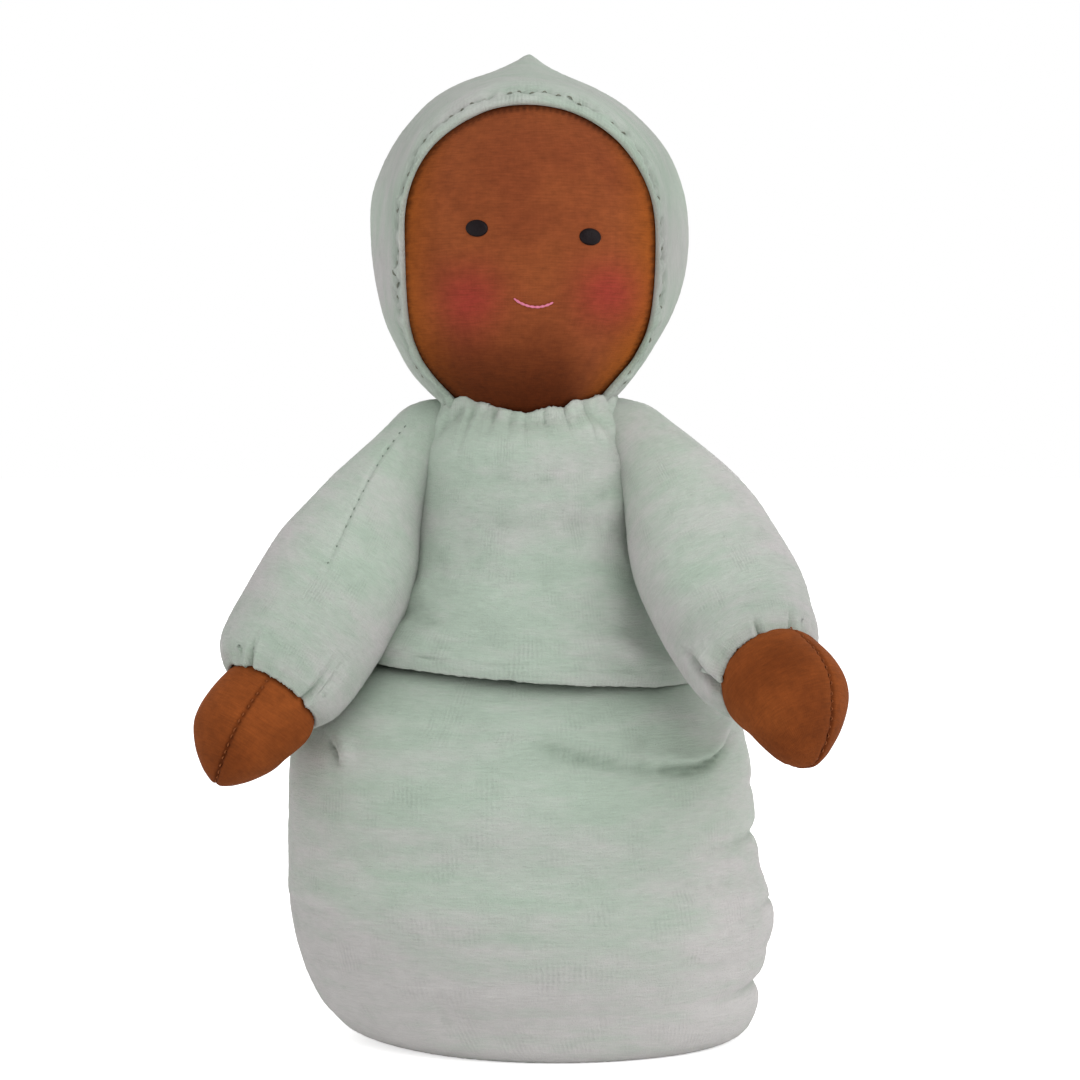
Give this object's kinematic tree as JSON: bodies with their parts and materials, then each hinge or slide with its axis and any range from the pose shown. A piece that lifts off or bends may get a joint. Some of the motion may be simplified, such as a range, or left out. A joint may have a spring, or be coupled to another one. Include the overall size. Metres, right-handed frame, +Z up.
{
  "type": "cloth doll",
  "caption": "Soft stuffed cloth doll with a hooded round head, gathered bodice, puffed sleeves, mitten hands and a sack-shaped lower body that it stands on.",
  "frame": {"origin": "on the flat underside of the sack, below the neck", "axes": "+Z up through the head, -Y out of the face, +X to the doll's own left"},
  "size_m": [0.1998, 0.1324, 0.3207],
  "materials": {
    "velour": "pale green knitted velour with a short soft pile",
    "jersey": "brown cotton jersey, finely ribbed",
    "wool": "carded sheep's wool",
    "eye_thread": "dark brown satin stitch",
    "mouth_thread": "pink embroidery thread",
    "green_thread": "pale green sewing thread",
    "brown_thread": "brown sewing thread",
    "hem_thread": "grey-brown sewing thread"
  },
  "bodies": {
    "sack": {"sack_cover": "velour", "sack_filling": "wool", "waist_filling": "wool"},
    "torso": {"bodice": "velour", "torso_filling": "wool", "neck_gather_thread": "green_thread"},
    "neck": {"neck_roll": "wool"},
    "head": {"head_skin": "jersey", "head_core": "wool", "head_tie": "brown_thread", "hood": "velour", "hood_hem_stitch": "hem_thread", "hood_back_seam": "green_thread", "eye_right": "eye_thread", "eye_left": "eye_thread", "mouth_stitch": "mouth_thread"},
    "shoulder_right": {"shoulder_seam_right": "green_thread"},
    "arm_right": {"sleeve_right": "velour", "arm_filling_right": "wool", "sleeve_seam_right": "green_thread"},
    "hand_right": {"hand_right": "jersey", "hand_filling_right": "wool", "wrist_thread_right": "brown_thread", "hand_seam_right": "brown_thread"},
    "shoulder_left": {"shoulder_seam_left": "green_thread"},
    "arm_left": {"sleeve_left": "velour", "arm_filling_left": "wool", "sleeve_seam_left": "green_thread"},
    "hand_left": {"hand_left": "jersey", "hand_filling_left": "wool", "wrist_thread_left": "brown_thread", "hand_seam_left": "brown_thread"}
  },
  "joints": [
    {"name": "waist_bend", "type": "hinge", "parent": "sack", "child": "torso", "pos_m": [0, 0, 0.126], "axis": [1, 0, 0], "range_deg": [-12, 15], "stiffness_Nm_per_rad": 1.2, "deforming": ["bodice", "waist_filling"]},
    {"name": "neck_turn", "type": "hinge", "parent": "torso", "child": "neck", "pos_m": [0, 0, 0.2], "axis": [0, 0, 1], "range_deg": [-50, 50], "stiffness_Nm_per_rad": 0.05},
    {"name": "neck_nod", "type": "hinge", "parent": "neck", "child": "head", "pos_m": [0, 0, 0.2], "axis": [1, 0, 0], "range_deg": [-12, 12], "stiffness_Nm_per_rad": 0.35, "deforming": ["neck_gather_thread"]},
    {"name": "arm_swing_right", "type": "hinge", "parent": "torso", "child": "shoulder_right", "pos_m": [-0.02967, 0, 0.1965], "axis": [-1, 0, 0], "range_deg": [-3, 75], "stiffness_Nm_per_rad": 0.12},
    {"name": "arm_raise_right", "type": "hinge", "parent": "shoulder_right", "child": "arm_right", "pos_m": [-0.02967, 0, 0.1965], "axis": [0, 0.9336, -0.3584], "range_deg": [0, 55], "stiffness_Nm_per_rad": 0.12},
    {"name": "wrist_bend_right", "type": "hinge", "parent": "arm_right", "child": "hand_right", "pos_m": [-0.08063, -0.03125, 0.11509], "axis": [-0.8634, 0.1808, 0.471], "range_deg": [-12, 20], "stiffness_Nm_per_rad": 0.03},
    {"name": "arm_swing_left", "type": "hinge", "parent": "torso", "child": "shoulder_left", "pos_m": [0.02967, 0, 0.1965], "axis": [-1, 0, 0], "range_deg": [-6, 60], "stiffness_Nm_per_rad": 0.12},
    {"name": "arm_raise_left", "type": "hinge", "parent": "shoulder_left", "child": "arm_left", "pos_m": [0.02967, 0, 0.1965], "axis": [0, -0.7934, 0.6088], "range_deg": [0, 60], "stiffness_Nm_per_rad": 0.12},
    {"name": "wrist_bend_left", "type": "hinge", "parent": "arm_left", "child": "hand_left", "pos_m": [0.07139, -0.05599, 0.12353], "axis": [-0.5854, -0.7694, 0.2557], "range_deg": [-12, 20], "stiffness_Nm_per_rad": 0.03}
  ]
}
